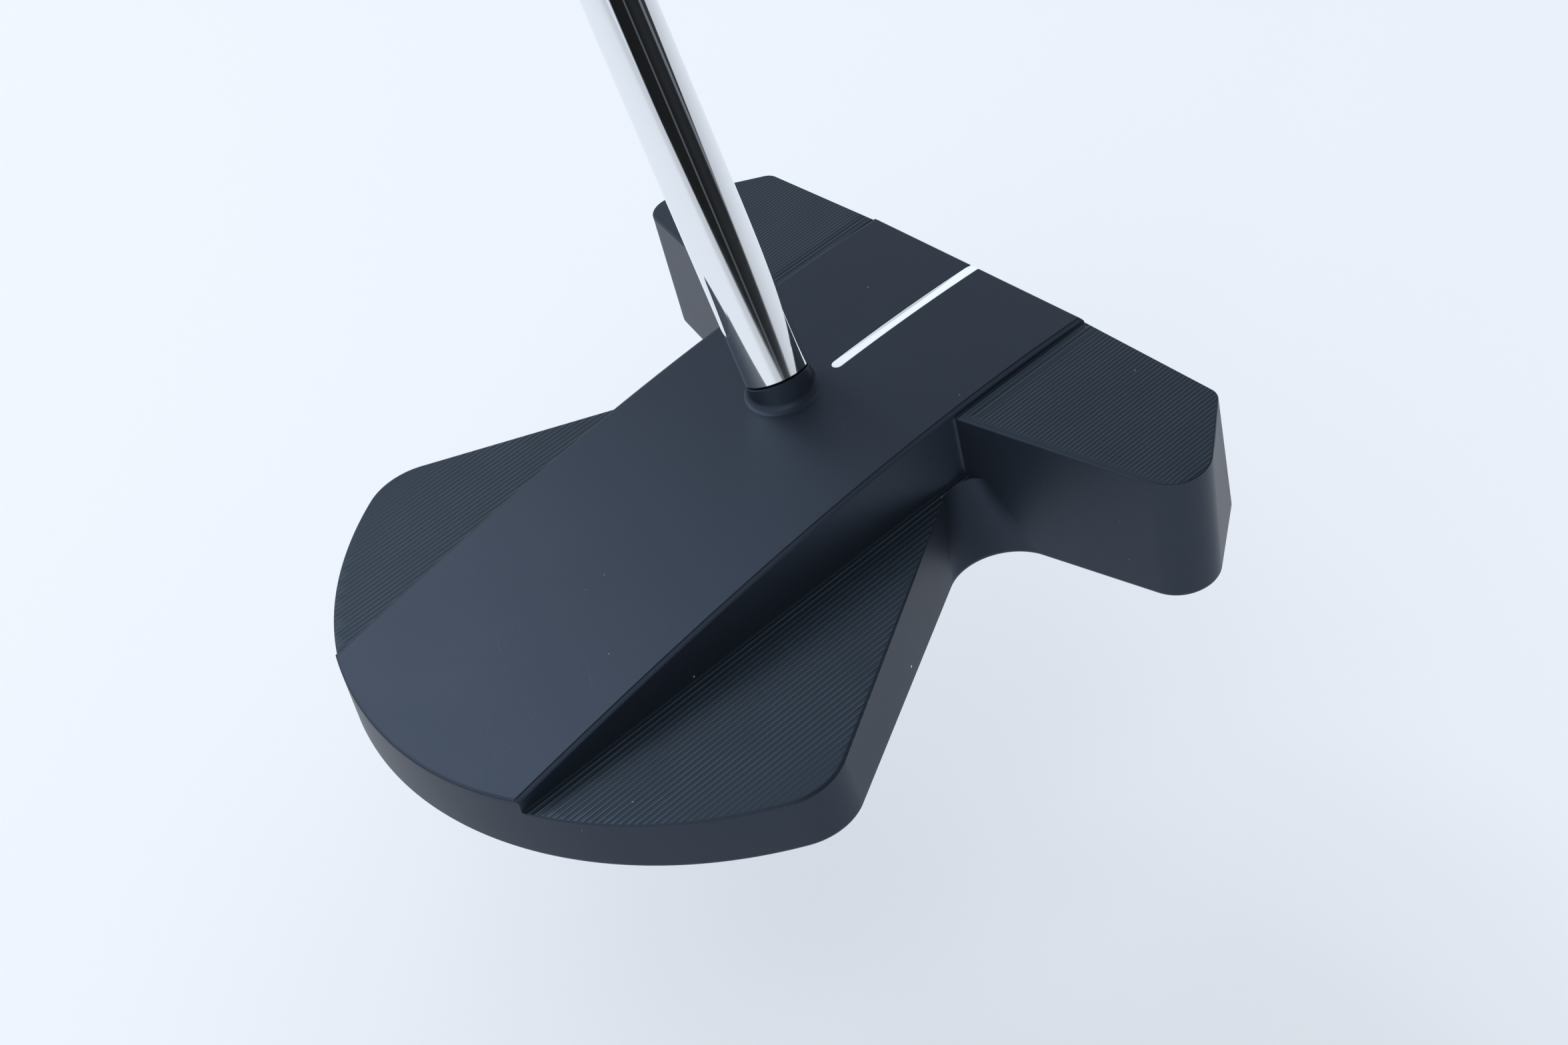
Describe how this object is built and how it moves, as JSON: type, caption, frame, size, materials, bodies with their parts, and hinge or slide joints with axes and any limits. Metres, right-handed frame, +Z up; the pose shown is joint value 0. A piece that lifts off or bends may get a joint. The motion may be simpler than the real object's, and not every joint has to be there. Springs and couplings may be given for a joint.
{
  "type": "mallet putter",
  "caption": "Mallet golf putter with a winged, milled dark head, a centre shaft, screw-in sole weights and a soft grip, for rolling a golf ball.",
  "frame": {"origin": "on the flat sole, in the head's middle plane, straight below the top edge of the striking face", "axes": "+Z up from the sole, +Y the way the face looks and the ball rolls, +X towards the toe; the shaft leans to -X, the heel"},
  "size_m": [0.3435, 0.1081, 0.821],
  "materials": {
    "head": "satin",
    "line": "satin",
    "insert": "satin",
    "bond": "satin",
    "weight": "satin",
    "washer": "satin",
    "screw": "satin",
    "shaft": "polished",
    "foam": "matte",
    "tape": "matte",
    "grip": "matte"
  },
  "bodies": {
    "putter": {"head_body": "head", "alignment_line_paint": "line", "face_insert": "insert", "face_insert_bond": "bond", "tuning_screw_1": "screw", "tuning_screw_2": "screw", "tuning_screw_3": "screw", "tuning_screw_4": "screw", "shaft": "shaft", "shaft_epoxy": "bond", "shaft_rattle_plug": "foam", "grip_tape": "tape", "grip_core": "foam", "grip_skin": "grip", "grip_end_cap": "grip"},
    "toe_washer": {"toe_weight_washer": "washer"},
    "toe_screw_weight": {"toe_weight": "weight"},
    "heel_washer": {"heel_weight_washer": "washer"},
    "heel_screw_weight": {"heel_weight": "weight"},
    "toe_rear_washer": {"toe_rear_weight_washer": "washer"},
    "toe_rear_screw_weight": {"toe_rear_weight": "weight"},
    "heel_rear_washer": {"heel_rear_weight_washer": "washer"},
    "heel_rear_screw_weight": {"heel_rear_weight": "weight"}
  },
  "joints": [
    {"name": "toe_weight_travel", "type": "slide", "parent": "putter", "child": "toe_washer", "axis": [0, 0, -1], "range_m": [0, 0.009]},
    {"name": "toe_weight_turn", "type": "hinge", "parent": "toe_washer", "child": "toe_screw_weight", "pos_m": [0.041, -0.0095, 0.0003], "axis": [0, 0, -1], "range_deg": [0, 3240]},
    {"name": "heel_weight_travel", "type": "slide", "parent": "putter", "child": "heel_washer", "axis": [0, 0, -1], "range_m": [0, 0.009]},
    {"name": "heel_weight_turn", "type": "hinge", "parent": "heel_washer", "child": "heel_screw_weight", "pos_m": [-0.041, -0.0095, 0.0003], "axis": [0, 0, -1], "range_deg": [0, 3240]},
    {"name": "toe_rear_weight_travel", "type": "slide", "parent": "putter", "child": "toe_rear_washer", "axis": [0, 0, -1], "range_m": [0, 0.004]},
    {"name": "toe_rear_weight_turn", "type": "hinge", "parent": "toe_rear_washer", "child": "toe_rear_screw_weight", "pos_m": [0.0305, -0.077, 0.0003], "axis": [0, 0, -1], "range_deg": [0, 1440]},
    {"name": "heel_rear_weight_travel", "type": "slide", "parent": "putter", "child": "heel_rear_washer", "axis": [0, 0, -1], "range_m": [0, 0.004]},
    {"name": "heel_rear_weight_turn", "type": "hinge", "parent": "heel_rear_washer", "child": "heel_rear_screw_weight", "pos_m": [-0.0305, -0.077, 0.0003], "axis": [0, 0, -1], "range_deg": [0, 1440]}
  ],
  "couplings": [
    {"joint": "toe_weight_turn", "follows": "toe_weight_travel", "rad_per_m": 6283.2},
    {"joint": "heel_weight_turn", "follows": "heel_weight_travel", "rad_per_m": 6283.2},
    {"joint": "toe_rear_weight_turn", "follows": "toe_rear_weight_travel", "rad_per_m": 6283.2},
    {"joint": "heel_rear_weight_turn", "follows": "heel_rear_weight_travel", "rad_per_m": 6283.2}
  ]
}
